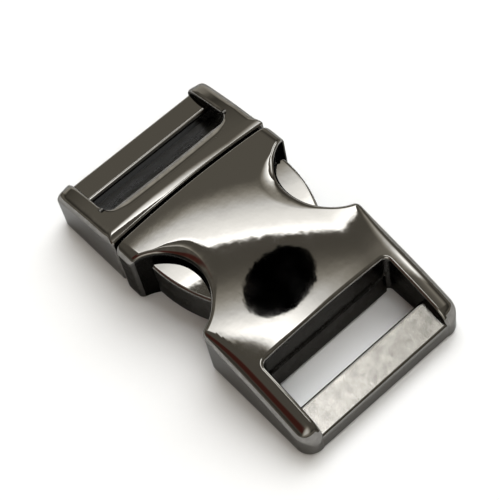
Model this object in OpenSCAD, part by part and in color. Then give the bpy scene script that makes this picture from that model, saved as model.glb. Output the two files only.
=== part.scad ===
// Arched metal side-release buckle for flat webbing and cord, shown fastened.
// X runs along the strap: the plug is at the low end, the socket at the high end.
// Y runs across the buckle and Z points up. The origin is on the ground under the middle.

/* [Overall] */
// Length over both ends
overall_length = 41.2; // [40.8:0.1:42]
// Width of the socket
body_width = 22; // [21.8:0.1:22.6]
// Width of the plug's frame
plug_width = 21.6; // [21.4:0.1:21.8]
// Height of the highest point above the ground
overall_height = 9; // [8.8:0.1:9.6]

/* [Arched top] */
// Radius of the arched top, seen from the side
arch_radius = 62; // [58:1:68]
// Place of the highest point along the length
arch_crest_x = -3; // [-4:0.5:-2]
// Radius of the top's slight crown, seen from the end
crown_radius = 80; // [70:1:120]
// Rounding of the long top edges
edge_radius = 1.5; // [1.2:0.1:1.6]

/* [Arched underside] */
// Height of the underside's hollow above the ground
underside_rise = 0.4; // [0.3:0.05:0.6]
// Length of the flat foot at each end
foot_length = 2; // [1.6:0.1:2.4]

/* [Seam] */
// Place of the plug's front face along the length
seam_x = -9.25; // [-9.35:0.05:-9.15]
// Gap that shows between plug and socket
seam_gap = 0.4; // [0.3:0.05:0.5]

/* [Socket] */
// Thickness of the socket's top wall at the middle
top_wall = 1.6; // [1.4:0.1:1.7]
// Thickness of the socket's bottom wall
bottom_wall = 1.6; // [1.4:0.1:1.8]
// Inner half width of the mouth, between the two tabs
mouth_half = 8.8; // [8.75:0.05:8.9]
// Inner half width behind the thumb notches
chamber_half = 8.2; // [8.1:0.05:8.3]
// Place of the inner end of the hollow
chamber_end_x = 8.6; // [8.3:0.1:9]
// Radius of each thumb notch, seen from above
notch_radius = 5.85; // [5.75:0.05:5.95]
// Place of each thumb notch along the length
notch_x = -0.35; // [-0.45:0.05:-0.25]
// Distance from the middle plane to each notch's centre
notch_y = 12.3; // [12.2:0.05:12.4]
// Rounding of the corners at the mouth, seen from above
mouth_corner = 0.7; // [0.4:0.1:0.9]
// Rounding of the rear corners, seen from above
rear_corner = 1.8; // [1.4:0.1:2.2]
// Rounding of the rails' rear ends, seen from the side
rail_end_radius = 2.2; // [1.8:0.1:2.4]

/* [Strap slot of the socket] */
// Half length of the slot
socket_slot_half = 8.65; // [8.5:0.05:8.8]
// Front edge of the slot
socket_slot_front = 12.2; // [12:0.05:12.4]
// Rear edge of the slot
socket_slot_rear = 16.9; // [16.7:0.05:17.1]
// Rounding of the slot's corners, seen from above
socket_slot_corner = 0.6; // [0.3:0.1:0.9]
// Depth of the step half way down the slot's front wall
slot_wall_step = 0.3; // [0.1:0.1:0.5]
// Height of the strap bar at its slot edge
socket_bar_height = 3.7; // [3.4:0.1:3.9]
// Downward slope of the strap bar's top
socket_bar_slope = 18; // [14:1:22]

/* [Strap slot of the plug] */
// Half length of the slot and of its bar
plug_slot_half = 8.6; // [8.5:0.05:8.7]
// Front edge of the slot, where the sloped face starts
ramp_top_x = -12.1; // [-12.3:0.05:-12]
// Slope of the face in front of the slot
ramp_slope = 47; // [46.5:0.5:48]
// Rear end of the block under the sloped face
ramp_toe_x = -18.4; // [-18.5:0.1:-18]
// Inner edge of the strap bar
plug_bar_inner = -16.8; // [-16.9:0.05:-16.7]
// Outer edge of the strap bar
plug_bar_outer = -20.2; // [-20.3:0.05:-20.1]
// Slope of the bar's flat top
plug_bar_slope = 9; // [7:0.5:12]
// Thickness of the bar, square to its top
plug_bar_thickness = 2.8; // [2.6:0.1:2.9]
// Height of the upright face at the bar's inner edge
plug_bar_edge = 0.7; // [0.5:0.1:0.8]
// Drop of the bar's inner edge below the arched top at the middle
plug_bar_drop = 1.85; // [1.75:0.05:1.95]
// Rounding of the cheeks' ends, seen from the side
cheek_end_radius = 2.2; // [1.8:0.1:2.4]
// Rounding of the cheeks' ends, seen from above
cheek_corner = 1; // [0.8:0.1:1.1]
// Rounding of the corners beside the seam, seen from above
seam_corner = 0.3; // [0.2:0.1:0.5]

/* [Latches] */
// Place of the hinge pins along the length
pin_x = -10.6; // [-10.65:0.05:-10.55]
// Distance from the middle plane to each pin
pin_y = 5.6; // [5.5:0.05:5.7]
// Radius of the hinge pins
pin_radius = 0.75; // [0.7:0.05:0.8]
// Clearance of the pins in the plug, on the radius
pin_seat_clearance = 0.02; // [0.01:0.01:0.04]
// Running clearance of the arms on their pins, on the radius
pin_clearance = 0.05; // [0.03:0.01:0.08]
// Radius of the arm's eye round the pin
eye_radius = 1.5; // [1.4:0.05:1.5]
// Clearance of the arm above and below
latch_clearance = 0.15; // [0.12:0.01:0.2]
// Outer half width of the arms in the mouth
arm_half = 8.5; // [8.45:0.05:8.6]
// Gap between the latch's shoulder and the tab that it catches
shoulder_gap = 0.3; // [0.25:0.05:0.35]
// Radius of the button's bulged outer face
button_radius = 16.5; // [16:0.5:17]
// Outer half width of the button where its face bulges most
button_half = 9.4; // [9.35:0.05:9.5]
// Place of that widest point along the length
button_crest_x = -4.4; // [-4.6:0.1:-4.2]
// Place of the latch's tip along the length
latch_tip_x = 5.4; // [5:0.1:5.6]
// Distance from the middle plane to the tip's inner edge
latch_tip_y = 4.9; // [4.85:0.05:5]

/* [Tongue] */
// Half width of the plug's centre tongue
tongue_half = 2; // [1.6:0.1:2]
// Place of the tongue's end along the length
tongue_end_x = 7.6; // [7:0.1:7.8]

/* [Hidden] */
plug_end_x = -overall_length / 2;
socket_end_x = overall_length / 2;
socket_front_x = seam_x + seam_gap;
body_half = body_width / 2;
plug_half = plug_width / 2;
arch_z = overall_height - arch_radius;
underside_half = overall_length / 2 - foot_length;
underside_radius = (pow(underside_half, 2) + pow(underside_rise, 2)) / (2 * underside_rise);
underside_z = underside_rise - underside_radius;
// Plain size that reaches past every face of the buckle
reach = 60;
blank_height = overall_height + 1;
// Room round the moving arm inside the plug
eye_room = 0.25;
arm_room = 0.3;
// Height of the metal left above each blind pin hole
pin_cover = 0.8;
// Overlap that joins the bar and the tongue to the frame
root_overlap = 0.5;
// Depth at which the arm's sides start inside its eye
arm_root_depth = 0.3;
// Small extra reach of cuts past the faces that they open
cut_overlap = 1;
// Height of the pins' lower ends above the underside
pin_recess = 0.2;
// Gap above the pins' upper ends
pin_end_gap = 0.1;
arch_segments = 180;
round_segments = 64;

// Height of the arched top in the middle plane at place x
function arch_height(x) = arch_z + sqrt(pow(arch_radius, 2) - pow(x - arch_crest_x, 2));

// Height of the arched underside at place x
function underside_height(x) = underside_z + sqrt(pow(underside_radius, 2) - pow(x, 2));

// Height of the pins' upper ends
function pin_top() = arch_height(pin_x) - pow(pin_y, 2) / (2 * crown_radius) - pin_cover;

// Turns a solid made about Z so that it lies across the buckle at place x and height z
module across(x, z) {
    translate([x, 0, z])
        rotate([-90, 0, 0])
            children();
}

// Long cylinder that lies across the buckle
module cross_cylinder(x, z, radius, segments) {
    across(x, z)
        cylinder(r = radius, h = 2 * reach, center = true, $fn = segments);
}

// Side-view outline in X and Z, extruded across the buckle between two places in Y
module side_prism(from_y, to_y) {
    translate([0, to_y, 0])
        rotate([90, 0, 0])
            linear_extrude(height = to_y - from_y)
                children();
}

// Crowned cross-section with rounded edges, as distance from the arch's axis and Y
module crowned_section(half) {
    crown_centre = arch_radius - crown_radius;
    fillet_y = half - edge_radius;
    fillet_x = crown_centre + sqrt(pow(crown_radius - edge_radius, 2) - pow(fillet_y, 2));
    tangent_y = fillet_y * crown_radius / (crown_radius - edge_radius);
    intersection() {
        translate([crown_centre, 0])
            circle(r = crown_radius, $fn = 4 * round_segments);
        translate([0, -tangent_y])
            square([2 * reach, 2 * tangent_y]);
    }
    translate([0, -half])
        square([fillet_x, 2 * half]);
    for (side = [-1, 1])
        translate([fillet_x, side * fillet_y])
            circle(r = edge_radius, $fn = round_segments);
}

// Everything under the crowned and arched top
module under_top(half) {
    across(arch_crest_x, arch_z)
        rotate_extrude($fn = arch_segments)
            crowned_section(half);
}

// Rectangle in plan with its own corner rounding at each end
module rounded_plan(low_x, high_x, half, low_radius, high_radius) {
    translate([low_x + low_radius, -half])
        square([high_x - high_radius - low_x - low_radius, 2 * half]);
    translate([low_x, low_radius - half])
        square([2 * low_radius, 2 * (half - low_radius)]);
    translate([high_x - 2 * high_radius, high_radius - half])
        square([2 * high_radius, 2 * (half - high_radius)]);
    for (side = [-1, 1]) {
        translate([low_x + low_radius, side * (half - low_radius)])
            circle(r = low_radius, $fn = round_segments);
        translate([high_x - high_radius, side * (half - high_radius)])
            circle(r = high_radius, $fn = round_segments);
    }
}

// Cuts the top corner at an end, so that a cylinder continues the arch and rounds it down
module end_rounding(end_x, radius) {
    way = sign(end_x);
    centre_x = end_x - way * radius;
    drop_radius = arch_radius - radius;
    centre_z = arch_z + sqrt(pow(drop_radius, 2) - pow(centre_x - arch_crest_x, 2));
    tangent_x = arch_crest_x + (centre_x - arch_crest_x) * arch_radius / drop_radius;
    low_x = min(tangent_x, end_x + way * cut_overlap);
    high_x = max(tangent_x, end_x + way * cut_overlap);
    difference() {
        translate([low_x, -reach, centre_z])
            cube([high_x - low_x, 2 * reach, reach]);
        cross_cylinder(centre_x, centre_z, radius, round_segments);
    }
}

// Arched blank of one half of the buckle, with its underside hollowed
module arched_blank(low_x, high_x, half, low_radius, high_radius) {
    difference() {
        intersection() {
            under_top(half);
            linear_extrude(height = blank_height)
                rounded_plan(low_x, high_x, half, low_radius, high_radius);
        }
        cross_cylinder(0, underside_z, underside_radius, arch_segments);
    }
}

// Arched layer between the top wall and the bottom wall, less a clearance on both sides
module inner_layer(clearance) {
    difference() {
        cross_cylinder(arch_crest_x, arch_z, arch_radius - top_wall - clearance, arch_segments);
        cross_cylinder(0, underside_z, underside_radius + bottom_wall + clearance, arch_segments);
    }
}

// Plan outline of one thumb notch on the left side
module notch_plan(clearance) {
    translate([notch_x, notch_y])
        circle(r = notch_radius - clearance, $fn = 2 * round_segments);
}

// Plan outline of the socket's hollow: the mouth between the tabs, then the chamber
module hollow_plan() {
    mouth_end_x = notch_x - sqrt(pow(notch_radius, 2) - pow(notch_y - mouth_half, 2)) + cut_overlap;
    translate([socket_front_x - cut_overlap, -mouth_half])
        square([mouth_end_x - socket_front_x + cut_overlap, 2 * mouth_half]);
    translate([socket_front_x, -chamber_half])
        square([chamber_end_x - socket_front_x, 2 * chamber_half]);
}

// Strap slot of the socket, with a small step half way down its front wall
module socket_slot() {
    step_z = arch_height(socket_slot_front) / 2;
    translate([0, 0, -cut_overlap])
        linear_extrude(height = blank_height + cut_overlap)
            rounded_plan(socket_slot_front, socket_slot_rear, socket_slot_half,
                socket_slot_corner, socket_slot_corner);
    translate([0, 0, step_z])
        linear_extrude(height = blank_height)
            rounded_plan(socket_slot_front - slot_wall_step, socket_slot_rear, socket_slot_half,
                socket_slot_corner, socket_slot_corner);
}

// Space above the socket's strap bar
module above_socket_bar() {
    start_x = socket_slot_rear - cut_overlap;
    end_x = socket_end_x + cut_overlap;
    start_z = socket_bar_height + cut_overlap * tan(socket_bar_slope);
    low_z = socket_bar_height - (end_x - socket_slot_rear) * tan(socket_bar_slope);
    side_prism(-socket_slot_half, socket_slot_half)
        polygon([
            [start_x, start_z],
            [end_x, low_z],
            [end_x, blank_height],
            [start_x, blank_height]
        ]);
}

// Female half: arched top and bottom, two tabs, two thumb notches, two rails and a strap bar
module socket() {
    color("dimgray")
        difference() {
            arched_blank(socket_front_x, socket_end_x, body_half, mouth_corner, rear_corner);
            intersection() {
                linear_extrude(height = blank_height)
                    hollow_plan();
                inner_layer(0);
            }
            for (side = [0, 1])
                mirror([0, side, 0])
                    translate([0, 0, -cut_overlap])
                        linear_extrude(height = blank_height + cut_overlap)
                            notch_plan(0);
            socket_slot();
            above_socket_bar();
            end_rounding(socket_end_x, rail_end_radius);
        }
}

// Pocket in the plug for the left arm's eye
module eye_pocket() {
    room = eye_radius + eye_room;
    intersection() {
        linear_extrude(height = blank_height) {
            translate([pin_x, pin_y])
                circle(r = room, $fn = round_segments);
            translate([pin_x, pin_y - room - eye_room])
                square([seam_x + cut_overlap - pin_x, arm_half + arm_room - pin_y + room + eye_room]);
        }
        inner_layer(0);
    }
}

// Side-view outline of everything behind the plug's sloped face
module behind_ramp() {
    toe_z = arch_height(ramp_top_x) - (ramp_top_x - ramp_toe_x) * tan(ramp_slope);
    polygon([
        [ramp_top_x + blank_height / tan(ramp_slope), arch_height(ramp_top_x) + blank_height],
        [ramp_top_x, arch_height(ramp_top_x)],
        [ramp_toe_x, toe_z],
        [ramp_toe_x, -cut_overlap],
        [plug_end_x - cut_overlap, -cut_overlap],
        [plug_end_x - cut_overlap, arch_height(ramp_top_x) + blank_height]
    ]);
}

// Side-view outline of the plug's strap bar: a slab whose inner face slants under the strap
module plug_bar_section() {
    inner_z = arch_height(plug_bar_inner) - plug_bar_drop;
    outer_z = inner_z - (plug_bar_inner - plug_bar_outer) * tan(plug_bar_slope);
    undercut = (plug_bar_thickness - plug_bar_edge * cos(plug_bar_slope)) / sin(ramp_slope - plug_bar_slope);
    low_x = plug_bar_outer + plug_bar_thickness * sin(plug_bar_slope);
    low_z = outer_z - plug_bar_thickness * cos(plug_bar_slope);
    polygon([
        [plug_bar_inner, inner_z],
        [plug_bar_outer, outer_z],
        [low_x, low_z],
        [plug_bar_inner - undercut * cos(ramp_slope), inner_z - plug_bar_edge - undercut * sin(ramp_slope)],
        [plug_bar_inner, inner_z - plug_bar_edge]
    ]);
}

// Male half: two cheeks, the strap bar, the front block with its sloped face, and the tongue
module plug() {
    color("dimgray") {
        difference() {
            arched_blank(plug_end_x, seam_x, plug_half, cheek_corner, seam_corner);
            side_prism(-plug_slot_half, plug_slot_half)
                behind_ramp();
            end_rounding(plug_end_x, cheek_end_radius);
            for (side = [0, 1])
                mirror([0, side, 0]) {
                    eye_pocket();
                    translate([pin_x, pin_y, 0])
                        cylinder(r = pin_radius + pin_seat_clearance, h = pin_top() + pin_end_gap,
                            $fn = round_segments);
                }
        }
        side_prism(-plug_slot_half - root_overlap, plug_slot_half + root_overlap)
            plug_bar_section();
        intersection() {
            translate([seam_x - root_overlap, -tongue_half, 0])
                cube([tongue_end_x - seam_x + root_overlap, 2 * tongue_half, blank_height]);
            inner_layer(latch_clearance);
        }
    }
}

// Plan outline of the left latch arm with its eye and its button
module latch_plan() {
    shoulder_radius = notch_radius - shoulder_gap;
    button_start_x = notch_x - shoulder_radius / 2;
    root = eye_radius - arm_root_depth;
    difference() {
        union() {
            translate([pin_x, pin_y])
                circle(r = eye_radius, $fn = round_segments);
            intersection() {
                translate([button_crest_x, button_half - button_radius])
                    circle(r = button_radius, $fn = 4 * round_segments);
                union() {
                    polygon([
                        [pin_x, pin_y - root],
                        [latch_tip_x, latch_tip_y],
                        [latch_tip_x, reach],
                        [button_start_x, reach],
                        [button_start_x, arm_half],
                        [pin_x + eye_radius, arm_half],
                        [pin_x, pin_y + root]
                    ]);
                    notch_plan(shoulder_gap);
                }
            }
        }
        translate([pin_x, pin_y])
            circle(r = pin_radius + pin_clearance, $fn = round_segments);
    }
}

// Left latch: an arm that swings on its pin and catches behind the socket's tab
module latch_left() {
    color("slategray")
        intersection() {
            linear_extrude(height = blank_height)
                latch_plan();
            inner_layer(latch_clearance);
        }
}

// Right latch
module latch_right() {
    mirror([0, 1, 0])
        latch_left();
}

// Left hinge pin, a plain round pin
module pin_left() {
    low_z = underside_height(pin_x) + pin_recess;
    color("silver")
        translate([pin_x, pin_y, low_z])
            cylinder(r = pin_radius, h = pin_top() - low_z, $fn = round_segments);
}

// Right hinge pin
module pin_right() {
    mirror([0, 1, 0])
        pin_left();
}

socket();
plug();
latch_left();
latch_right();
pin_left();
pin_right();
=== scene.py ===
"""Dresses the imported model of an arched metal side-release buckle and sets up its studio."""

import math

import bpy
import numpy as np
from mathutils import Matrix, Vector
from mathutils.geometry import delaunay_2d_cdt


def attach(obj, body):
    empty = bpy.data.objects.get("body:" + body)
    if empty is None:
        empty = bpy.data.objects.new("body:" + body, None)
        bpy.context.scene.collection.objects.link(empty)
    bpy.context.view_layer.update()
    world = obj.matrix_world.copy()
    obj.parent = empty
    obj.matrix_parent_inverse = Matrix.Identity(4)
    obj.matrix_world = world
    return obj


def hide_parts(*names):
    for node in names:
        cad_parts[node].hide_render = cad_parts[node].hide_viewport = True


bl_info = {
    "name": "Arched Side-Release Buckle",
    "version": (1, 0, 0),
    "blender": (4, 5, 0),
    "location": "View3D > Sidebar > Buckle",
    "description": "Builds the polished skins of an arched side-release buckle "
                   "over its packed model",
    "category": "Add Mesh",
}

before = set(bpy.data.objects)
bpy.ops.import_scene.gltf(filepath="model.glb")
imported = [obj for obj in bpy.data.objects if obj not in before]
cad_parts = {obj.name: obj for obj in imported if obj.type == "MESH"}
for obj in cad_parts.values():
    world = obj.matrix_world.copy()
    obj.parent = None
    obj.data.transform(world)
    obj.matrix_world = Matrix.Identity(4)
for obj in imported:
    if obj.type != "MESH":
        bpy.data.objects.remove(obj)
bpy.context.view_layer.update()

MM = 0.001

# Sizes of the solids in millimetres, named as in the part's source
HALF_LENGTH = 20.6
HEIGHT = 9.0
BODY_HALF = 11.0
PLUG_HALF = 10.8
ARCH_RADIUS = 62.0
ARCH_CREST_X = -3.0
CROWN_RADIUS = 80.0
UNDERSIDE_RISE = 0.4
UNDERSIDE_HALF = 18.6
SEAM_X = -9.25
SOCKET_FRONT_X = -8.85
TOP_WALL = 1.6
BOTTOM_WALL = 1.6
MOUTH_HALF = 8.8
CHAMBER_HALF = 8.2
CHAMBER_END_X = 8.6
NOTCH = (-0.35, 12.3)
NOTCH_RADIUS = 5.85
MOUTH_CORNER = 0.7
REAR_CORNER = 1.8
RAIL_END_RADIUS = 2.2
SOCKET_SLOT_HALF = 8.65
SOCKET_SLOT_FRONT = 12.2
SOCKET_SLOT_REAR = 16.9
SOCKET_SLOT_CORNER = 0.6
SLOT_WALL_STEP = 0.3
SOCKET_BAR_HEIGHT = 3.7
SOCKET_BAR_SLOPE = 18.0
PLUG_SLOT_HALF = 8.6
RAMP_TOP_X = -12.1
RAMP_SLOPE = 47.0
RAMP_TOE_X = -18.4
PLUG_BAR_INNER = -16.8
PLUG_BAR_OUTER = -20.2
PLUG_BAR_SLOPE = 9.0
PLUG_BAR_THICKNESS = 2.8
PLUG_BAR_EDGE = 0.7
PLUG_BAR_DROP = 1.85
CHEEK_END_RADIUS = 2.2
CHEEK_CORNER = 1.0
PIN = (-10.6, 5.6)
PIN_HOLE_RADIUS = 0.77
EYE_RADIUS = 1.5
EYE_ROOM = 0.25
ARM_ROOM = 0.3
ARM_ROOT_DEPTH = 0.3
ARM_HALF = 8.5
LATCH_CLEARANCE = 0.15
SHOULDER_GAP = 0.3
BUTTON_RADIUS = 16.5
BUTTON_HALF = 9.4
BUTTON_CREST_X = -4.4
LATCH_TIP = (5.4, 4.9)
TONGUE_HALF = 2.0
TONGUE_END_X = 7.6

SEAM_CORNER = 0.3
PIN_COVER = 0.8
PIN_END_GAP = 0.1
EYE_BORE_RADIUS = 0.8

# Rims of the skins as width and depth of the rounding, in millimetres
SHARP = (0.0, 0.0)
FRONT_RIM = (0.35, 0.35)
TAB_RIM = (0.5, 0.5)
NOTCH_FRONT_RIM = (2.6, 1.0)
NOTCH_REAR_RIM = (0.55, 0.5)
SIDE_RIM = (0.3, 0.3)
END_RIM = (1.0, 1.0)
RAIL_RIM = (0.38, 0.38)
SLOT_RIM = (0.45, 0.45)
CHEEK_RIM = (0.45, 0.45)
CHEEK_END_RIM = (0.95, 0.95)
PLUG_SIDE_RIM = (1.3, 1.2)
NOSE_RIM = (0.28, 0.28)
TONGUE_RIM = (0.2, 0.2)
TONGUE_CORNER = 0.4
LATCH_RIM = (0.2, 0.2)
BUTTON_RIM = (0.35, 0.35)

# Radii of the bars' edges, in the order of their cross-sections' corners
SOCKET_BAR_EDGES = (0.3, 2.0, 0.4, 0.45, 0.3)
PLUG_BAR_EDGES = (0.5, 0.4, 0.4, 0.3, 0.35)

# Roundings that the solids leave out, the plug's slant to its seam, and how far bars reach in
NOTCH_FRONT_BLEND = 0.7
NOTCH_FRONT_TURN = 36.0
NOTCH_REAR_BLEND = 0.85
RAIL_CORNER = 0.4
CHEEK_INNER_CORNER = 0.5
HOLLOW_CORNER = 1.1
CROWN_CORNER = 0.4
CREASE_END_RADIUS = 0.8
CREASE_FADE = 2.6
SEAM_SLANT = 1.6
SEAM_SLANT_TURN = 11.0
SEAM_END_TURN = 5.0
TOE_RADIUS = 0.4
BAR_INSET = 0.05
BAR_ROOT = 0.5
NOSE_RUN = 1.5
CORNER_POINTS = 7
BAR_STATIONS = 12

# Steps along outlines in millimetres, and round arcs in degrees
RUN_STEP = 0.5
SHORT_STEP = 0.2
FINE_STEP = 0.15
PLAN_TURN = 3.0
ROUND_TURN = 9.0
EYE_TURN = 6.0
SHOULDER_TURN = 1.5
BUTTON_TURN = 1.0

# Points that count as one: their distance, and the least product of their normals
SAME_PLACE = 1e-4
SAME_WAY = 0.8

# Width of a rim that is pinched at a sharp corner: there, and for each millimetre away from it
PINCH_START = 0.004
PINCH_SLOPE = 0.5

# How rims are made: a rim wider than ROUND_RIM is flatter, by FLAT_RIM for each millimetre
RIM_LEVELS = 13
# From this level of a rim down, tagged stretches take the plating darkened with painted shade
RIM_DARK_LEVEL = 8
FOOT_LEVELS = 5
ROUND_RIM = 0.7
FLAT_RIM = 0.7
FOOT_RIM = 0.3
LATCH_FOOT_RIM = 0.2

# How the ramp's profile is made, and between which heights its corners become round
CREASE_LEVELS = 9
TOE_LEVELS = 5
RAMP_COLUMNS = 40
RAMP_ROUNDS = 6
LEAN_STEP = 0.01
# From this level of the ramp down, its face takes the plating darkened with painted shade
RAMP_DARK_LEVEL = 7
CORNER_LOW = 3.0
CORNER_HIGH = 6.0

# Spacing of the points inside a face, how near they come to its border, and step of a slope
FIELD_STEP = 0.8
SOCKET_FIELD_X = ((-8.0, 17.5, FIELD_STEP), (17.5, HALF_LENGTH, 0.25))
SOCKET_FIELD_Y = ((-8.8, 9.0, FIELD_STEP),)
SOCKET_SIDE_Y = ((9.1, BODY_HALF, 0.17),)
PLUG_FIELD_X = ((-20.3, -17.5, 0.25), (-17.5, -11.2, 0.6), (-11.2, SEAM_X, 0.2))
BORDER_GAP = 0.15
SLOPE_STEP = 0.001

# Share of a rounding at which its slope is cut off, on ends and on rolled sides
STEEP_END = 0.97
STEEP_ROLL = 0.95

# Roll of the socket's top towards its sides: width at three places, and depth for its width
TAB_ROLL = 1.6
HIP_ROLL = 0.4
RAIL_ROLL = 1.8
HIP_X = 5.0
RAIL_X = 11.5
ROLL_DEPTH = 0.65

# Kinds of plating, in the order of the skins' material slots: the second, fourth and fifth are the
# plating darkened with painted shade
KINDS = ("mirror", "shaded_recess", "frosted", "shaded_throat", "deep")
MIRROR, RECESS, FROSTED, THROAT, DEEP = range(len(KINDS))

# Darkest and lightest painted shade of the plating on inner walls, in the strap way and in the
# notches; the lightest also dims their grazing reflection
PAINTED_SHADES = {"shaded_recess": (0.42, 0.55), "shaded_throat": (0.4, 0.5), "deep": (0.1, 0.16)}

# Shades of the grained face, of worn edges, of the ground's grain and of the painted shadow under
# the plug's strap bar, and the ground's sheen
FROSTED_SHADES = (1.15, 1.65)
WORN_SHADE = 1.6
GROUND_SHADE = 0.985
UNDER_BAR_PAINTED_SHADOW = 0.03
GROUND_SHEEN = 0.2

# Patterns: cells for each millimetre, levels of detail and, where given, their weight
SMUDGES = (0.35, 3.0)
SPECKS = (9.0, 2.0)
WEAR = (1.3, 3.0)
FROST_CLOUDS = (0.7, 5.0, 0.65)
FROST_GRAIN = (2.0, 0.7)
SCRATCHES = (0.8, 3.0, 0.65)
TURNING = (1.5, 3.0)
GROUND_GRAIN = (0.9, 4.0)

# Stretch of the patterns along X, Y and Z, and the span in which each one comes out
SCRATCH_STRETCH = (0.9, 14.0, 5.0)
TURNING_STRETCH = (1.0, 1.0, 22.0)
SMUDGE_SPAN = (0.3, 0.75)
WEAR_SPAN = (0.35, 0.7)
FROST_SPAN = (0.25, 0.75)
SCRATCH_SPAN = (0.66, 0.74)

# What the patterns add to the roughness, and the roughness of walls, pins and ground
MIRROR_ROUGH = {"smudge": 0.04, "scratch": 0.02, "speck": 0.02}
WALL_ROUGH = {"smudge": 0.1, "speck": 0.05, "least": 0.2}
FROST_ROUGH = 0.25
PIN_ROUGH = (0.2, 0.2)
GROUND_ROUGH = (0.1, 0.75)

# Heights of the patterns in the bumps, in millimetres where the depth is left at one
SCRATCH_HEIGHT = -0.0002
SMUDGE_HEIGHT = 0.01
WALL_HEIGHT = 0.01
FROST_HEIGHT = 0.012
PIN_STRENGTH = 0.4
PIN_HEIGHT = 0.02

# Painted shadow on the ground under the plug's strap bar, as its soft edges in millimetres
UNDER_BAR_REAR = (-20.7, -20.1)
UNDER_BAR_FRONT = (-17.6, -18.2)
UNDER_BAR_SIDE = (9.2, 8.6)

# Camera in metres, the angles it looked along in the photograph, and where it looks now
CAMERA_PLACE = (0.0783, -0.0447, 0.1497)
CAMERA_ANGLES = (43.4, 53.1)
CAMERA_TARGET = (0.0, 0.0, 0.0045)

# Reflection of the plating at which the tent's full light shows as white
FULL_LIGHT = 0.18

# Size of the light tent and of the ground, in metres
TENT_RADIUS = 1.2
TENT_GRID = (24, 64)
GROUND_HALF = 2.0

# The tent's pattern. A slant is a direction's X and Y for each unit of its Z, across and along
LEAST_RISE = 0.05
SHEET_EDGE = (-0.325, 0.34)
SHEET_EDGE_WAY = (-0.77, 0.64)
SHEET_EDGE_BEND = (0.54, 0.9)
SHEET_RAGS = (30.0, 3.0)
SHEET_RAGGED = 0.02
SHEET_GLOW = ((0.36, 0.0), 0.8)
SHEET_GLARE = ((0.07, 0.0), 0.45)
SHEET_SIDE = (-0.84, -0.66)
SHEET_SOFT = (-0.012, 0.012)
SHEET_LEAST = 0.055
PALE_LEAST = 0.035
PALE_WIDTH = 0.37
PALE_MOST = 1.15
PALE_LEFT = 0.2
PALE_RIGHT = 0.65
PALE_FOOT = (0.65, 0.25, 0.055)
PALE_FOOT_SOFT = (-0.03, 0.03)
PALE_SIDE = (0.6, 0.4)
PALE_DIP = ((0.08, 0.2), (0.2, 0.34), 0.9)
LENS_PLACE = (-0.14, 0.24)
LENS_SHEAR = 0.15
LENS_SQUASH = 0.885
LENS_EDGE = (0.125, 0.131)

# Low parts of the tent, by height: where the sheets fade, and the glow near the ground
LOW_FADE = (0.3, 0.62)
LOW_GLOW = ((0.36, 0.2), 0.05)
LEAST_LIGHT = 0.015

# Patches of the tent, as spans of a direction's parts, and their light
EAST, NORTH, UP = range(3)
STREAK = ((UP, 0.42, 0.33), (EAST, -0.5, -0.75), (NORTH, -0.15, 0.1))
STREAK_LIGHT = 0.14
BEHIND = ((UP, 0.1, 0.6), (EAST, 0.3, 0.6), (NORTH, -0.1, -0.4))
BEHIND_LIGHT = 0.3
BROWN = (
    (UP, 0.5, 0.6), (UP, 0.88, 0.8), (NORTH, -0.1, -0.35), (EAST, -0.56, -0.44), (EAST, 0.42, 0.28),
)
BROWN_LIGHT = 0.03

# Tints of the tent's light where it is dim, from a middling light on, and in the brown patch
DIM_TINT = (1.0, 0.92, 0.76, 1.0)
BRIGHT_TINT = (1.0, 0.995, 0.98, 1.0)
BRIGHT_FROM = 0.5
BROWN_TINT = (1.0, 0.3, 0.22, 1.0)

# Lamps: name, direction from the buckle, distance in metres, size in metres, power in watts
LAMPS = (
    ("key", (-0.35, 0.55, 0.9), 0.9, (0.9, 0.7), 6.0),
)

# Heights of the arch's and the underside's centres
ARCH_Z = HEIGHT - ARCH_RADIUS
UNDERSIDE_RADIUS = (UNDERSIDE_HALF**2 + UNDERSIDE_RISE**2) / (2 * UNDERSIDE_RISE)
UNDERSIDE_Z = UNDERSIDE_RISE - UNDERSIDE_RADIUS


def unit(vectors):
    """Vectors scaled to length one along the last axis."""
    length = np.linalg.norm(vectors, axis=-1, keepdims=True)
    return vectors / np.maximum(length, 1e-12)


def arch_height(x, y=0.0, wall=0.0):
    """Height of the crowned top, or of the plain ceiling a wall's thickness below it."""
    if wall:
        radius = ARCH_RADIUS - wall
    else:
        radius = ARCH_RADIUS - CROWN_RADIUS + np.sqrt(CROWN_RADIUS**2 - np.square(y))
    return ARCH_Z + np.sqrt(np.square(radius) - np.square(np.asarray(x) - ARCH_CREST_X))


def underside_height(x, wall=0.0):
    """Height of the arched underside, flat at the two feet, or of the floor a wall above it."""
    z = UNDERSIDE_Z + np.sqrt((UNDERSIDE_RADIUS + wall) ** 2 - np.square(np.asarray(x)))
    return np.maximum(z, 0.0)


def rounded_end(x, y, end_x, radius):
    """Height of the crowned top, rounded down towards one end of the buckle."""
    way = math.copysign(1.0, end_x)
    centre_x = end_x - way * radius
    drop = ARCH_RADIUS - radius
    crown = arch_height(centre_x, y) - arch_height(centre_x, 0.0)
    centre_z = ARCH_Z + math.sqrt(drop**2 - (centre_x - ARCH_CREST_X) ** 2) + crown
    tangent_x = ARCH_CREST_X + (centre_x - ARCH_CREST_X) * ARCH_RADIUS / drop
    x = np.asarray(x, float)
    run = np.clip(way * (x - centre_x), 0.0, STEEP_END * radius)
    low = centre_z + np.sqrt(radius**2 - run**2)
    return np.where(way * (x - tangent_x) > 0, low, arch_height(x, y))


def side_roll(x):
    """Width over which the socket's top rolls down to its sides: wide at the tabs and rails."""
    share = np.clip((np.asarray(x, float) - HIP_X) / (RAIL_X - HIP_X), 0, 1)
    rail = HIP_ROLL + (RAIL_ROLL - HIP_ROLL) * share * (2 - share)
    return np.where(np.asarray(x) < 0, TAB_ROLL, rail)


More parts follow.
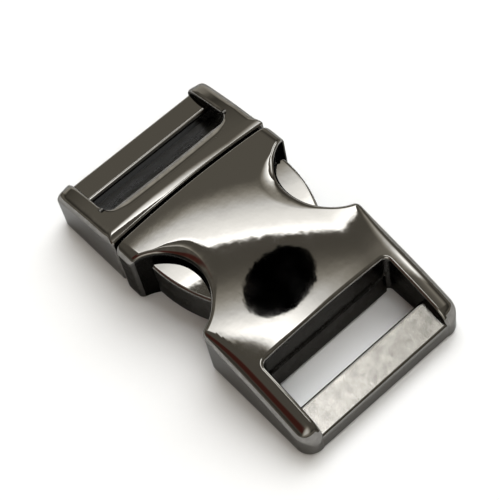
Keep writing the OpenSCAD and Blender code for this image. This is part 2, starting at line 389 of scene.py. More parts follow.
def socket_top(x, y):
    """Height of the socket's top with its rolled sides and its rails' rounded ends."""
    width = side_roll(x)
    past = np.clip((np.abs(y) - BODY_HALF + width) / width, 0, STEEP_ROLL)
    drop = ROLL_DEPTH * width * (1 - np.sqrt(1 - past**2))
    return rounded_end(x, y, HALF_LENGTH, RAIL_END_RADIUS) - drop


def plug_top(x, y):
    """Height of the plug's top with its cheeks' rounded ends and its slant down to the seam."""
    past = np.clip(np.asarray(x) - SEAM_X + SEAM_SLANT, 0, None) / SEAM_SLANT
    turn = np.radians(SEAM_SLANT_TURN + SEAM_END_TURN * np.square(y) / PLUG_HALF**2)
    drop = SEAM_SLANT / 2 * np.tan(turn) * past**2
    return rounded_end(x, y, -HALF_LENGTH, CHEEK_END_RADIUS) - drop


def underside(x, y):
    """Height of the underside at a plan point."""
    return underside_height(x)


def ceiling(x, y):
    """Height of the hollow's ceiling at a plan point."""
    return arch_height(x, y, TOP_WALL)


def floor(x, y):
    """Height of the hollow's floor at a plan point."""
    return underside_height(x, BOTTOM_WALL)


def latch_top(x, y):
    """Upper face of the latches and of the tongue."""
    return arch_height(x, y, TOP_WALL + LATCH_CLEARANCE)


def latch_bottom(x, y):
    """Lower face of the latches and of the tongue."""
    return underside_height(x, BOTTOM_WALL + LATCH_CLEARANCE)


def circles_meet(first, first_radius, second, second_radius, way):
    """The point where two circles cross, on the left of the line between centres if way is 1."""
    first, second = np.array(first), np.array(second)
    gap = second - first
    span = math.hypot(*gap)
    along = (span**2 + first_radius**2 - second_radius**2) / (2 * span)
    across = way * math.sqrt(first_radius**2 - along**2)
    ahead = gap / span
    return first + along * ahead + across * np.array([-ahead[1], ahead[0]])


def bearing(centre, point):
    """Direction from a centre to a point, in degrees from 0 to 360."""
    return math.degrees(math.atan2(point[1] - centre[1], point[0] - centre[0])) % 360


class Outline:
    """A run of plan points, each with its outward normal, its rim's width and depth, and a tag."""

    # Tags, which add up: no wall beside the hollow, a stepped wall, and two kinds of wall darkened
    # with painted shade
    OPEN = 1
    LEDGE = 2
    RECESS = 4
    DEEP = 8

    def __init__(self):
        self.rows = np.zeros((0, 7))

    def _add(self, points, normals, rim, share, tag):
        rim = np.array(rim, float)
        low, high = (rim, rim) if rim.ndim == 1 else rim
        t = (share * share * (3 - 2 * share))[:, None]
        rims = low * (1 - t) + high * t
        rows = np.hstack([points, normals, rims, np.full((len(points), 1), float(tag))])
        self.rows = np.vstack([self.rows, rows])
        return self

    def line(self, start, end, rim, step=RUN_STEP, tag=0):
        """Straight run with the metal on its left."""
        start, end = np.array(start, float), np.array(end, float)
        share = np.linspace(0, 1, max(2, int(math.dist(start, end) / step) + 1))
        ahead = unit(end - start)
        normals = np.repeat([[ahead[1], -ahead[0]]], len(share), axis=0)
        return self._add(start + share[:, None] * (end - start), normals, rim, share, tag)

    def arc(self, centre, radius, low, high, rim, step=PLAN_TURN, tag=0):
        """Run round a centre from angle low to angle high; a falling angle makes a hollow."""
        share = np.linspace(0, 1, max(4, int(abs(high - low) / step) + 1))
        angle = np.radians(low + share * (high - low))
        ray = np.stack([np.cos(angle), np.sin(angle)], axis=1)
        normals = ray if high > low else -ray
        return self._add(np.array(centre) + radius * ray, normals, rim, share, tag)

    def with_mirror(self):
        """The run followed by its mirror image about the XZ plane."""
        self.rows = np.vstack([self.rows, mirrored(self.rows)])
        return self


def mirrored(rows):
    """The rows mirrored about the XZ plane, in the order that keeps the metal on the left."""
    return rows[::-1] * [1, -1, 1, -1, 1, 1, 1]


def merged(rows):
    """The rows without points that stand on the point before them, averaging their normals."""
    kept = [rows[0].copy()]
    for row in rows[1:]:
        one_place = np.allclose(row[:2], kept[-1][:2], atol=SAME_PLACE)
        if one_place and row[2:4] @ kept[-1][2:4] > SAME_WAY:
            kept[-1][2:4] = unit(kept[-1][2:4] + row[2:4])
            kept[-1][6] = int(kept[-1][6]) | int(row[6])
        else:
            kept.append(row.copy())
    if np.allclose(kept[0][:2], kept[-1][:2], atol=SAME_PLACE) and len(kept) > 2:
        kept[0][6] = int(kept[0][6]) | int(kept[-1][6])
        kept.pop()
    return np.array(kept)


class Skin:
    """The patches of one piece in millimetres, with a true normal at each point."""

    def __init__(self):
        self.points, self.normals, self.edges, self.faces, self.marks = [], [], [], [], []
        self.count = 0

    def add(self, points, normals, faces, marks=None, edge=None):
        """Adds a patch. marks holds each face's material slot, edge each point's wear."""
        points = np.asarray(points, float).reshape(-1, 3)
        self.points.append(points)
        self.normals.append(unit(np.asarray(normals, float).reshape(-1, 3)))
        self.edges.append(np.zeros(len(points)) if edge is None else np.asarray(edge).ravel())
        self.faces += [tuple(self.count + k for k in face) for face in faces]
        self.marks += [MIRROR] * len(faces) if marks is None else marks
        self.count += len(points)

    def strip(self, levels, closed, start_normals=None, skip=None, edge=None, kinds=None, low=0):
        """Quads between levels of points that run round an outline, from the top down.

        kinds holds each column's material slot, which is used from level low on.
        """
        levels = np.asarray(levels, float)
        rows, cols = levels.shape[:2]
        if closed:
            ahead = np.roll(levels, -1, axis=1) - np.roll(levels, 1, axis=1)
        else:
            ahead = np.gradient(levels, axis=1)
        down = np.gradient(levels, axis=0)
        normals = unit(np.cross(down, ahead))
        if start_normals is not None:
            normals[0] = start_normals
        same = np.linalg.norm(levels - np.roll(levels, -1, axis=1), axis=2) < 1e-6
        faces, marks = [], []
        for j in range(cols if closed else cols - 1):
            k = (j + 1) % cols
            if skip is not None and skip[j] and skip[k]:
                continue
            mark = MIRROR if kinds is None else int(min(kinds[j], kinds[k]))
            for i in range(rows - 1):
                if same[i, j] and same[i + 1, j]:
                    continue
                faces.append((i * cols + j, (i + 1) * cols + j, (i + 1) * cols + k, i * cols + k))
                marks.append(mark if i >= low else MIRROR)
        worn = None if edge is None else np.repeat(np.array(edge)[:, None], cols, axis=1)
        self.add(levels, normals, faces, marks, worn)

    def sheet(self, loops, height, up=True, xs=None, ys=None):
        """A field of triangles inside the first loop and outside the others, at a height."""
        points, edges = [], []
        for loop in loops:
            first = len(points)
            points += [tuple(p) for p in loop]
            edges += [(first + k, first + (k + 1) % len(loop)) for k in range(len(loop))]
        lows, highs = np.min(loops[0], axis=0), np.max(loops[0], axis=0)
        starts = lows + FIELD_STEP / 2
        xs = np.arange(starts[0], highs[0], FIELD_STEP) if xs is None else xs
        ys = np.arange(starts[1], highs[1], FIELD_STEP) if ys is None else ys
        grid = np.array(np.meshgrid(xs, ys)).reshape(2, -1).T
        grid = grid[inside(grid, loops)]
        border = np.array(points)
        near = np.min(np.linalg.norm(grid[:, None] - border[None], axis=2), axis=1)
        points += [tuple(p) for p in grid[near > BORDER_GAP]]
        made = delaunay_2d_cdt([Vector(p) for p in points], edges, [], 0, 1e-5)
        flat = np.array([tuple(v) for v in made[0]])
        triangles = np.array(made[2])
        middles = flat[triangles].mean(axis=1)
        triangles = triangles[inside(middles, loops)]
        corners = flat[triangles]
        turn = np.cross(corners[:, 1] - corners[:, 0], corners[:, 2] - corners[:, 0])
        wrong = (turn < 0) == up
        triangles[wrong] = triangles[wrong][:, ::-1]
        self.add(*raised(flat, height, up), [tuple(t) for t in triangles])

    def build(self, name, materials, body, slot, *nodes):
        """Makes the Blender object, which rides on its body and stands for its nodes."""
        mesh = bpy.data.meshes.new(name)
        mesh.from_pydata(np.vstack(self.points) * MM, [], self.faces)
        mesh.polygons.foreach_set("use_smooth", [True] * len(self.faces))
        mesh.polygons.foreach_set("material_index", self.marks)
        mesh.normals_split_custom_set_from_vertices(np.vstack(self.normals))
        worn = mesh.attributes.new("edge", "FLOAT", "POINT")
        worn.data.foreach_set("value", np.concatenate(self.edges))
        for material in materials:
            mesh.materials.append(material)
        piece = bpy.data.objects.new(name, mesh)
        bpy.context.scene.collection.objects.link(piece)
        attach(piece, body)
        if nodes:
            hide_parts(*nodes)
        return piece


def field(runs):
    """Values in runs, each from a start to an end by a step."""
    return np.concatenate([np.arange(*run) for run in runs])


def inside(points, loops):
    """True for each point that lies inside the first loop and outside the others."""
    hit = np.zeros(len(points), bool)
    for loop in loops:
        low, high = np.array(loop), np.roll(loop, -1, axis=0)
        for (x0, y0), (x1, y1) in zip(low, high):
            if y0 == y1:
                continue
            crosses = (points[:, 1] < y0) != (points[:, 1] < y1)
            reach = x0 + (points[:, 1] - y0) * (x1 - x0) / (y1 - y0)
            hit ^= crosses & (points[:, 0] < reach)
    return hit


def raised(flat, height, up=True):
    """Plan points lifted to a height, and the height's true normals there."""
    x, y, step = flat[:, 0], flat[:, 1], SLOPE_STEP
    z = height(x, y)
    slope_x = (height(x + step, y) - height(x - step, y)) / (2 * step)
    slope_y = (height(x, y + step) - height(x, y - step)) / (2 * step)
    normals = unit(np.stack([-slope_x, -slope_y, np.ones_like(z)], axis=1))
    return np.stack([x, y, z], axis=1), normals if up else -normals


def pinched(rows, corners):
    """The rows with a rim that narrows to almost nothing at sharp corners."""
    rows = rows.copy()
    for corner in corners:
        reach = np.linalg.norm(rows[:, :2] - np.array(corner), axis=1)
        rows[:, 4:6] = np.minimum(rows[:, 4:6], PINCH_START + PINCH_SLOPE * reach[:, None])
    return rows


def plate(skin, rows, top, bottom, hollow=False, foot=FOOT_RIM, closed=True, step_z=0.0,
          ledge=0.0):
    """Rim, walls and lower edge round an outline. Returns the plan loops inside the two edges.

    A hollow piece has no wall between its ceiling and its floor where the outline is open.
    ledge moves the stretches tagged as ledges forward below the height step_z.
    """
    at, out, wide, deep = rows[:, :2], rows[:, 2:4], rows[:, 4:5], rows[:, 5]
    tag = rows[:, 6].astype(int)
    # Stretches tagged as recesses or deep walls take the plating with painted shade on the lower
    # rim and on the walls
    kinds = np.where(tag & Outline.RECESS > 0, RECESS, MIRROR)
    kinds = np.where(tag & Outline.DEEP > 0, DEEP, kinds)
    stepped = tag & Outline.LEDGE > 0
    turns = np.radians(np.linspace(0, 90, RIM_LEVELS))
    power = 2 / (2 + FLAT_RIM * np.clip(wide - ROUND_RIM, 0, 1))
    rim = []
    for turn in turns:
        plan = at - out * wide * (1 - math.sin(turn) ** power)
        z = top(plan[:, 0], plan[:, 1]) - deep * (1 - max(math.cos(turn), 0) ** power[:, 0])
        rim.append(np.column_stack([plan, z]))
    shift = np.where(stepped, ledge, 0.0)[:, None] * [1.0, 0.0]
    feet = np.minimum(foot, wide)
    low = []
    for turn in np.radians(np.linspace(90, 0, FOOT_LEVELS)):
        plan = at + shift - out * feet * (1 - math.sin(turn))
        z = bottom(plan[:, 0], plan[:, 1]) + feet[:, 0] * (1 - math.cos(turn))
        low.append(np.column_stack([plan, z]))
    wall_top, wall_low = rim[-1][:, 2], low[0][:, 2]
    upper = wall_top + (wall_low - wall_top) / 3
    lower = wall_top + (wall_low - wall_top) * 2 / 3
    gap = tag & Outline.OPEN > 0
    if hollow:
        near = gap | np.roll(gap, 1) | np.roll(gap, -1)
        upper = np.where(near, ceiling(*at.T), upper)
        lower = np.where(near, floor(*at.T), lower)
    if ledge:
        upper = np.where(stepped, step_z, upper)
        lower = np.where(stepped, step_z, lower)
    high_line = np.column_stack([at, upper])
    low_line = np.column_stack([at + shift, lower])
    start = raised(rim[0][:, :2], top)[1]
    skin.strip(rim, closed, start, edge=np.sin(2 * turns), kinds=kinds, low=RIM_DARK_LEVEL)
    skin.strip([rim[-1], high_line], closed, kinds=kinds)
    skin.strip([high_line, low_line], closed, skip=gap, kinds=kinds)
    skin.strip([low_line] + low, closed, kinds=kinds)
    return rim[0][:, :2], low[-1][:, :2]


def walls(skin, rows, upper=ceiling, lower=floor):
    """Inner walls between two heights, which are a hollow's ceiling and floor unless given, in
    plating darkened with painted shade.
    """
    at = rows[:, :2]
    high = np.column_stack([at, upper(*at.T)])
    low = np.column_stack([at, lower(*at.T)])
    skin.strip([high, low], closed=False, kinds=np.full(len(at), RECESS))


def rounded_section(corners, edges):
    """Points and normals round a cross-section, from its corners and their radii."""
    points, normals = [], []
    corners = np.array(corners, float)
    for k, (here, radius) in enumerate(zip(corners, edges)):
        back = unit(corners[k - 1] - here)
        ahead = unit(corners[(k + 1) % len(corners)] - here)
        half = math.acos(float(np.clip(back @ ahead, -1, 1))) / 2
        centre = here + unit(back + ahead) * radius / math.sin(half)
        start = here + back * radius / math.tan(half) - centre
        end = here + ahead * radius / math.tan(half) - centre
        for t in np.linspace(0, 1, CORNER_POINTS):
            ray = unit(start * (1 - t) + end * t)
            points.append(centre + ray * radius)
            normals.append(ray)
    return np.array(points), np.array(normals)


def bar(skin, corners, edges, half, frosted=None):
    """A straight bar across the buckle, from its cross-section's corners and their radii.

    frosted is the number of the corner that a grained face begins at.
    """
    section, turned = rounded_section(corners, edges)
    stations = np.linspace(-half, half, BAR_STATIONS)
    count, cols = len(section), len(stations)
    points = [[x, y, z] for x, z in section for y in stations]
    normals = [[x, 0.0, z] for x, z in turned for _ in stations]
    grained = None if frosted is None else (frosted + 1) * CORNER_POINTS - 1
    faces, marks = [], []
    for i in range(count):
        k = (i + 1) % count
        for j in range(cols - 1):
            faces.append((i * cols + j, i * cols + j + 1, k * cols + j + 1, k * cols + j))
            marks.append(FROSTED if i == grained else MIRROR)
    skin.add(points, normals, faces, marks)


def bore(skin, centre, radius, upper, lower):
    """Upright round hole between two heights."""
    walls(skin, Outline().arc(centre, radius, 360, 0, SHARP, step=ROUND_TURN).rows, upper, lower)


def circle(centre, radius):
    """Plan loop of a round hole."""
    return Outline().arc(centre, radius, 0, 360, SHARP, step=ROUND_TURN).rows[:-1, :2]


def socket_outline():
    """Plan of the socket's plates, from the middle of its front round to the strap slot."""
    front, side, end = SOCKET_FRONT_X, -BODY_HALF, HALF_LENGTH
    notch = (NOTCH[0], -NOTCH[1])

    def blend_centre(radius, way):
        run = math.sqrt((NOTCH_RADIUS + radius) ** 2 - (NOTCH[1] - BODY_HALF + radius) ** 2)
        return (NOTCH[0] + way * run, radius - BODY_HALF)

    def open_angle(half):
        return math.degrees(math.asin((NOTCH[1] - half) / NOTCH_RADIUS))

    ahead = blend_centre(NOTCH_FRONT_BLEND, -1)
    behind = blend_centre(NOTCH_REAR_BLEND, 1)
    start, stop = bearing(notch, ahead), bearing(notch, behind)
    mouth, chamber = 180 - open_angle(MOUTH_HALF), open_angle(CHAMBER_HALF)
    slot_x = SOCKET_SLOT_FRONT - SLOT_WALL_STEP
    slot_y, round_slot = SOCKET_SLOT_HALF, SOCKET_SLOT_CORNER
    rail = RAIL_CORNER
    # Stretches tagged RECESS or DEEP get painted shade on their lower rims and walls
    plan = Outline()
    plan.line((front, 0), (front, -MOUTH_HALF), FRONT_RIM, tag=Outline.OPEN)
    plan.line((front, -MOUTH_HALF), (front, side + MOUTH_CORNER), FRONT_RIM)
    plan.arc((front + MOUTH_CORNER, side + MOUTH_CORNER), MOUTH_CORNER, 180, 270,
             (FRONT_RIM, TAB_RIM))
    plan.line((front + MOUTH_CORNER, side), (ahead[0], side), TAB_RIM, tag=Outline.RECESS)
    plan.arc(ahead, NOTCH_FRONT_BLEND, 270, bearing(ahead, notch), TAB_RIM, tag=Outline.RECESS)
    plan.arc(notch, NOTCH_RADIUS, start, mouth, TAB_RIM, tag=Outline.DEEP)
    plan.arc(notch, NOTCH_RADIUS, mouth, mouth - NOTCH_FRONT_TURN, (TAB_RIM, NOTCH_FRONT_RIM),
             tag=Outline.OPEN | Outline.DEEP)
    plan.arc(notch, NOTCH_RADIUS, mouth - NOTCH_FRONT_TURN, chamber,
             (NOTCH_FRONT_RIM, NOTCH_REAR_RIM), tag=Outline.OPEN | Outline.DEEP)
    plan.arc(notch, NOTCH_RADIUS, chamber, stop, NOTCH_REAR_RIM, tag=Outline.DEEP)
    plan.arc(behind, NOTCH_REAR_BLEND, bearing(behind, notch), 270, (NOTCH_REAR_RIM, SIDE_RIM))
    plan.line((behind[0], side), (end - REAR_CORNER, side), SIDE_RIM)
    plan.arc((end - REAR_CORNER, side + REAR_CORNER), REAR_CORNER, 270, 360, (SIDE_RIM, END_RIM))
    plan.line((end, side + REAR_CORNER), (end, -slot_y - rail), (END_RIM, RAIL_RIM),
              step=SHORT_STEP)
    plan.arc((end - rail, -slot_y - rail), rail, 0, 90, RAIL_RIM, step=ROUND_TURN)
    plan.line((end - rail, -slot_y), (slot_x + round_slot, -slot_y), RAIL_RIM,
              tag=Outline.RECESS)
    plan.arc((slot_x + round_slot, round_slot - slot_y), round_slot, 270, 180,
             (RAIL_RIM, SLOT_RIM), step=ROUND_TURN, tag=Outline.RECESS)
    plan.line((slot_x, round_slot - slot_y), (slot_x, 0), SLOT_RIM,
              tag=Outline.LEDGE | Outline.RECESS)
    return merged(plan.with_mirror().rows)


def socket_skin():
    """The female half: arched plates round the chamber, thumb notches, rails and strap bar."""
    skin = Skin()
    rows = socket_outline()
    step_z = float(arch_height(SOCKET_SLOT_FRONT)) / 2
    loops = plate(skin, rows, socket_top, underside, hollow=True, step_z=step_z,
                  ledge=SLOT_WALL_STEP)
    dense, sides = field(SOCKET_FIELD_X), field(SOCKET_SIDE_Y)
    rows_y = np.concatenate([-sides[::-1], field(SOCKET_FIELD_Y), sides])
    skin.sheet([loops[0]], socket_top, xs=dense, ys=rows_y)
    skin.sheet([loops[1]], underside, up=False, xs=dense)
    opened = rows[:, 6].astype(int) & Outline.OPEN > 0
    near = rows[opened & (rows[:, 1] < 0) & (rows[:, 0] > -7)]
    meet_front, meet_rear = near[0, 0], near[-1, 0]
    far = mirrored(near)
    front, end, mouth, half = SOCKET_FRONT_X, CHAMBER_END_X, MOUTH_HALF, CHAMBER_HALF
    loop = np.vstack([
        [(front, -mouth)], near[:, :2], [(end, -half), (end, half)], far[:, :2], [(front, mouth)],
    ])
    skin.sheet([loop], ceiling, up=False)
    skin.sheet([loop], floor)
    for start, stop in (
        ((meet_front, -mouth), (front, -mouth)),
        ((end, -half), (meet_rear, -half)),
        ((end, half), (end, -half)),
        ((meet_rear, half), (end, half)),
        ((front, mouth), (meet_front, mouth)),
    ):
        walls(skin, Outline().line(start, stop, SHARP).rows)
    fall = math.tan(math.radians(SOCKET_BAR_SLOPE))
    inner, outer = SOCKET_SLOT_REAR, HALF_LENGTH - BAR_INSET
    bar(skin, [
        (inner, float(underside_height(inner))),
        (UNDERSIDE_HALF, 0.0),
        (outer, 0.0),
        (outer, SOCKET_BAR_HEIGHT - (outer - inner) * fall),
        (inner, SOCKET_BAR_HEIGHT),
    ], SOCKET_BAR_EDGES, SOCKET_SLOT_HALF + RAIL_CORNER, frosted=3)
    return skin


def ramp_profile(crease, half):
    """Crease, ramp, rounded toe and upright face of the plug, from the top down.

    The corners where the ramp meets the cheeks are rounded in plan, less so further down.
    """
    slope = math.radians(RAMP_SLOPE)
    turn = np.radians(np.arange(0, 90, ROUND_TURN))
    arc = PLUG_SLOT_HALF - HOLLOW_CORNER + HOLLOW_CORNER * np.sin(turn)
    side = np.concatenate([arc, [PLUG_SLOT_HALF, half]])
    middle = np.linspace(-arc[0], arc[0], RAMP_COLUMNS)[1:-1]
    y = np.concatenate([-side[::-1], middle, side])[::-1]
    past = np.clip(np.abs(y) - arc[0], 0, HOLLOW_CORNER)
    drop = np.sqrt(np.maximum(HOLLOW_CORNER**2 - past**2, 1e-6))
    top_z = float(arch_height(RAMP_TOP_X))
    x = np.full_like(y, RAMP_TOP_X)
    for _ in range(RAMP_ROUNDS):
        x = RAMP_TOP_X + (arch_height(x, y) - top_z) / math.tan(slope)
    z = arch_height(x, y)
    climb = arch_height(x + LEAN_STEP, y) - arch_height(x - LEAN_STEP, y)
    lean = np.arctan(climb / (2 * LEAN_STEP))
    tight = np.clip((np.abs(y) - PLUG_SLOT_HALF + CREASE_FADE) / CREASE_FADE, 0, 1)
    crease = crease + (CREASE_END_RADIUS - crease) * tight * tight * (3 - 2 * tight)
    run = crease * np.tan((slope - lean) / 2)
    points, normals = [], []
    for t in np.linspace(0, 1, CREASE_LEVELS):
        turn = lean + (slope - lean) * t
        px = x + run * np.cos(lean) + crease * (np.sin(lean) - np.sin(turn))
        pz = z + run * np.sin(lean) - crease * (np.cos(lean) - np.cos(turn))
        points.append(np.stack([px, y, pz], axis=1))
        normals.append(np.stack([-np.sin(turn), 0 * y, np.cos(turn)], axis=1))
    toe_z = top_z - (RAMP_TOP_X - RAMP_TOE_X) * math.tan(slope)
    back = TOE_RADIUS * math.tan(math.pi / 4 - slope / 2)
    for turn in np.linspace(slope, math.pi / 2, TOE_LEVELS):
        px = RAMP_TOE_X + back * math.cos(slope) + TOE_RADIUS * (math.sin(slope) - math.sin(turn))
        pz = toe_z + back * math.sin(slope) - TOE_RADIUS * (math.cos(slope) - math.cos(turn))
        points.append(np.stack([px + 0 * y, y, pz + 0 * y], axis=1))
        normals.append(np.stack([-math.sin(turn) + 0 * y, 0 * y, math.cos(turn) + 0 * y], axis=1))
    low = float(underside_height(RAMP_TOE_X))
    points.append(np.stack([RAMP_TOE_X + 0 * y, y, low + 0 * y], axis=1))
    normals.append(normals[-1])
    points, normals = np.array(points), np.array(normals)
    share = np.clip((points[:, :, 2] - CORNER_LOW) / (CORNER_HIGH - CORNER_LOW), 0, 1)
    share = share * share * (3 - 2 * share)
    points[:, :, 0] -= share * (HOLLOW_CORNER - drop)
    normals[:, :, 1] = normals[:, :, 0] * share * np.sign(y) * past / drop
    return points, normals


def plug_outline(start_x):
    """Plan of the plug's plates, from the near end of its ramp round to the far end."""
    end, seam, inner, outer = -HALF_LENGTH, SEAM_X, -PLUG_SLOT_HALF, -PLUG_HALF
    small, corner, nose = CHEEK_INNER_CORNER, CHEEK_CORNER, SEAM_CORNER
    low, high = PIN[1] - EYE_RADIUS - 2 * EYE_ROOM, ARM_HALF + ARM_ROOM
    # The stretch tagged RECESS gets painted shade on its lower rim and wall
    plan = Outline()
    plan.line((start_x, inner), (end + small, inner), CHEEK_RIM, tag=Outline.RECESS)
    plan.arc((end + small, inner - small), small, 90, 180, CHEEK_RIM, step=ROUND_TURN)
    plan.line((end, inner - small), (end, outer + corner), (CHEEK_RIM, CHEEK_END_RIM),
              step=FINE_STEP)
    plan.arc((end + corner, outer + corner), corner, 180, 270, CHEEK_END_RIM)
    nose_x = seam - nose - NOSE_RUN
    plan.line((end + corner, outer), (nose_x, outer), (CHEEK_END_RIM, PLUG_SIDE_RIM))
    plan.line((nose_x, outer), (seam - nose, outer), (PLUG_SIDE_RIM, NOSE_RIM),
              step=FINE_STEP)
    plan.arc((seam - nose, outer + nose), nose, 270, 360, NOSE_RIM, step=ROUND_TURN)
    plan.line((seam, outer + nose), (seam, -high), NOSE_RIM, step=SHORT_STEP)
    plan.line((seam, -high), (seam, -low), NOSE_RIM, tag=Outline.OPEN)
    plan.line((seam, -low), (seam, 0), NOSE_RIM)
    return merged(plan.with_mirror().rows)


def plug_skin(crease):
    """The male half: cheeks, strap bar, sloped front block, latch pockets and tongue."""
    skin = Skin()
    half = PLUG_SLOT_HALF + CHEEK_RIM[0]
    ramp, turned = ramp_profile(crease, half)
    start_x = float(ramp[0, 0, 0])
    corners = [(start_x, -PLUG_SLOT_HALF), (start_x, PLUG_SLOT_HALF)]
    rows = pinched(plug_outline(start_x), corners)
    loops = plate(skin, rows, plug_top, underside, hollow=True, closed=False)
    border = np.vstack([loops[0], ramp[0, 1:-1, :2]])
    skin.sheet([border], plug_top, xs=field(PLUG_FIELD_X))
    # The ramp's lower levels take the plating darkened with painted shade
    count, cols = ramp.shape[:2]
    faces, marks = [], []
    for i in range(count - 1):
        for j in range(cols - 1):
            here, below = i * cols + j, (i + 1) * cols + j
            faces.append((here, below, below + 1, here + 1))
            marks.append(THROAT if i >= RAMP_DARK_LEVEL else MIRROR)
    worn = np.zeros((count, cols))
    worn[:CREASE_LEVELS] = np.sin(np.linspace(0, math.pi, CREASE_LEVELS))[:, None]
    skin.add(ramp, turned, faces, marks, worn)
    pins = [(PIN[0], side * PIN[1]) for side in (-1, 1)]
    holes = [circle(pin, PIN_HOLE_RADIUS) for pin in pins]
    skin.sheet([loops[1], *holes], underside, up=False)
    low_y = abs(loops[1][0, 1])
    skin.sheet([np.array([
        (RAMP_TOE_X, -low_y), (start_x, -low_y), (start_x, low_y), (RAMP_TOE_X, low_y),
    ])], underside, up=False)
    room = EYE_RADIUS + EYE_ROOM
    low, high = PIN[1] - room - EYE_ROOM, ARM_HALF + ARM_ROOM
    pocket = Outline()
    pocket.line((SEAM_X, low), (PIN[0], low), SHARP)
    pocket.line((PIN[0], low), (PIN[0], PIN[1] - room), SHARP, step=SHORT_STEP / 2)
    pocket.arc(PIN, room, 270, 90, SHARP, step=EYE_TURN)
    pocket.line((PIN[0], PIN[1] + room), (PIN[0], high), SHARP)
    pocket.line((PIN[0], high), (SEAM_X, high), SHARP)
    hole_top = float(arch_height(PIN[0], PIN[1])) - PIN_COVER + PIN_END_GAP

    def hole_end(x, y):
        return np.full_like(x, hole_top)

    for side, pin, hole in zip((-1, 1), pins, holes):
        rows = pocket.rows if side > 0 else mirrored(pocket.rows)
        walls(skin, rows)
        loop = merged(rows)[:, :2]
        skin.sheet([loop, hole], ceiling, up=False)
        skin.sheet([loop, hole], floor)
        bore(skin, pin, PIN_HOLE_RADIUS, floor, underside)
        bore(skin, pin, PIN_HOLE_RADIUS, hole_end, ceiling)
        skin.sheet([hole], hole_end, up=False)
    slope = math.radians(PLUG_BAR_SLOPE)
    ramp_way = math.radians(RAMP_SLOPE)
    inner_z = float(arch_height(PLUG_BAR_INNER)) - PLUG_BAR_DROP
    outer_z = inner_z - (PLUG_BAR_INNER - PLUG_BAR_OUTER) * math.tan(slope)
    thick = PLUG_BAR_THICKNESS
    under = (thick - PLUG_BAR_EDGE * math.cos(slope)) / math.sin(ramp_way - slope)
    bar(skin, [
        (PLUG_BAR_OUTER, outer_z),
        (PLUG_BAR_OUTER + thick * math.sin(slope), outer_z - thick * math.cos(slope)),
        (PLUG_BAR_INNER - under * math.cos(ramp_way),
         inner_z - PLUG_BAR_EDGE - under * math.sin(ramp_way)),
        (PLUG_BAR_INNER, inner_z - PLUG_BAR_EDGE),
        (PLUG_BAR_INNER, inner_z),
    ], PLUG_BAR_EDGES, PLUG_SLOT_HALF + BAR_ROOT)
    tongue = Outline()
    root, tip, wide, round_tip = SEAM_X - BAR_ROOT, TONGUE_END_X, TONGUE_HALF, TONGUE_CORNER
    tongue.line((root, -wide), (tip - round_tip, -wide), TONGUE_RIM)
    tongue.arc((tip - round_tip, round_tip - wide), round_tip, 270, 360, TONGUE_RIM,
               step=ROUND_TURN)
    tongue.line((tip, round_tip - wide), (tip, 0), TONGUE_RIM)
    loops = plate(skin, merged(tongue.with_mirror().rows), latch_top, latch_bottom,
                  foot=LATCH_FOOT_RIM, closed=False)
    skin.sheet([loops[0]], latch_top)
    skin.sheet([loops[1]], latch_bottom, up=False)
    return skin


def latch_outline():
    """Plan of the left latch: eye, arm, button and shoulder."""
    shoulder = NOTCH_RADIUS - SHOULDER_GAP
    button = (BUTTON_CREST_X, BUTTON_HALF - BUTTON_RADIUS)
    root = EYE_RADIUS - ARM_ROOT_DEPTH
    tip_x, tip_y = LATCH_TIP

    def on_eye(start, end):
        """Where the line from a start inside the eye to an end leaves the eye."""
        start, ahead = np.array(start), unit(np.array(end, float) - start)
        gap = start - PIN
        along = -(gap @ ahead) + math.sqrt((gap @ ahead) ** 2 - gap @ gap + EYE_RADIUS**2)
        return start + along * ahead

    inner = on_eye((PIN[0], PIN[1] - root), (tip_x, tip_y))
    elbow = (PIN[0] + EYE_RADIUS, ARM_HALF)
    outer = on_eye((PIN[0], PIN[1] + root), elbow)
    tip_high = (tip_x, button[1] + math.sqrt(BUTTON_RADIUS**2 - (tip_x - button[0]) ** 2))
    crown = circles_meet(button, BUTTON_RADIUS - CROWN_CORNER, NOTCH, shoulder - CROWN_CORNER, 1)
    foot_x = NOTCH[0] - math.sqrt(shoulder**2 - (NOTCH[1] - ARM_HALF) ** 2)
    # The button's arc tagged RECESS gets painted shade on its lower rim and wall
    plan = Outline()
    plan.line(inner, (tip_x, tip_y), LATCH_RIM)
    plan.line((tip_x, tip_y), tip_high, LATCH_RIM, step=SHORT_STEP)
    plan.arc(button, BUTTON_RADIUS, bearing(button, tip_high), bearing(button, crown), BUTTON_RIM,
             step=BUTTON_TURN, tag=Outline.RECESS)
    plan.arc(crown, CROWN_CORNER, bearing(button, crown), bearing(NOTCH, crown),
             (BUTTON_RIM, LATCH_RIM), step=ROUND_TURN)
    plan.arc(NOTCH, shoulder, bearing(NOTCH, crown), bearing(NOTCH, (foot_x, ARM_HALF)),
             LATCH_RIM, step=SHOULDER_TURN)
    plan.line((foot_x, ARM_HALF), elbow, LATCH_RIM, step=RUN_STEP / 2)
    plan.line(elbow, outer, LATCH_RIM, step=SHORT_STEP)
    plan.arc(PIN, EYE_RADIUS, bearing(PIN, outer), bearing(PIN, inner), LATCH_RIM, step=EYE_TURN)
    return pinched(merged(plan.rows), [(tip_x, tip_y), tip_high, elbow])


def latch_skin(side):
    """One latch: the left one for side 1, its mirror image for side -1."""
    skin = Skin()
    rows = latch_outline()
    if side < 0:
        rows = mirrored(rows)
    pin = (PIN[0], side * PIN[1])
    hole = circle(pin, EYE_BORE_RADIUS)
    loops = plate(skin, rows, latch_top, latch_bottom, foot=LATCH_FOOT_RIM)
    skin.sheet([loops[0], hole], latch_top)
    skin.sheet([loops[1], hole], latch_bottom, up=False)
    bore(skin, pin, EYE_BORE_RADIUS, latch_top, latch_bottom)
    return skin


